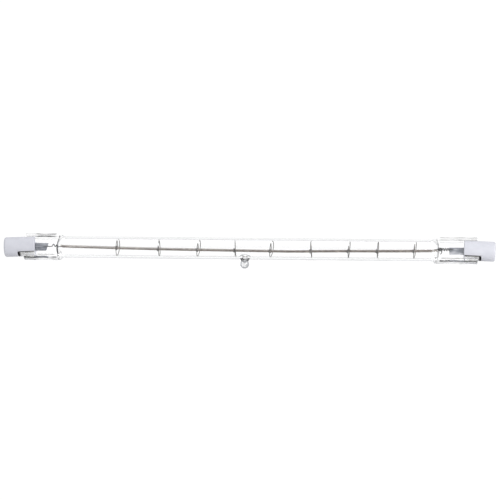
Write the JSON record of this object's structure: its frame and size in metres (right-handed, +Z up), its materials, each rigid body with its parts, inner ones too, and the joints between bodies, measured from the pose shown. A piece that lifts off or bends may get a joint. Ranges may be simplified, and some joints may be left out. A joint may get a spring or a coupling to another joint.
{
  "type": "linear halogen bulb",
  "caption": "Double-ended linear halogen bulb: clear quartz tube with flat pinch seals, slotted ceramic caps with recessed contacts, a long supported coil and a side exhaust tip",
  "frame": {"origin": "on the tube's axis at the middle of the overall length, which is the centre of mass to within half a millimetre", "axes": "+X runs along the tube to the right-hand cap and +Z is up. The lamp lies rolled about X by 21 degrees, with its tube and its exhaust tip on the floor. The tip points to -Y and down, and the pinch seals' flat faces look up and to -Y"},
  "size_m": [0.1894, 0.0133, 0.0082],
  "materials": {
    "quartz": "clear fused quartz",
    "cap_ceramic": "matte fired ceramic",
    "cement": "matte set cement",
    "contact_metal": "turned, dull silver",
    "molybdenum": "satin grey foil and wire",
    "tungsten": "dull drawn wire"
  },
  "bodies": {
    "root": {"quartz_envelope": "quartz", "filament_coil": "tungsten", "ceramic_cap_left": "cap_ceramic", "contact_left": "contact_metal", "cement_left": "cement", "foil_left": "molybdenum", "outer_lead_left": "molybdenum", "inner_lead_left": "tungsten", "ceramic_cap_right": "cap_ceramic", "contact_right": "contact_metal", "cement_right": "cement", "foil_right": "molybdenum", "outer_lead_right": "molybdenum", "inner_lead_right": "tungsten", "support_1": "tungsten", "support_2": "tungsten", "support_3": "tungsten", "support_4": "tungsten", "support_5": "tungsten", "support_6": "tungsten", "support_7": "tungsten", "support_8": "tungsten", "support_9": "tungsten"}
  },
  "joints": []
}
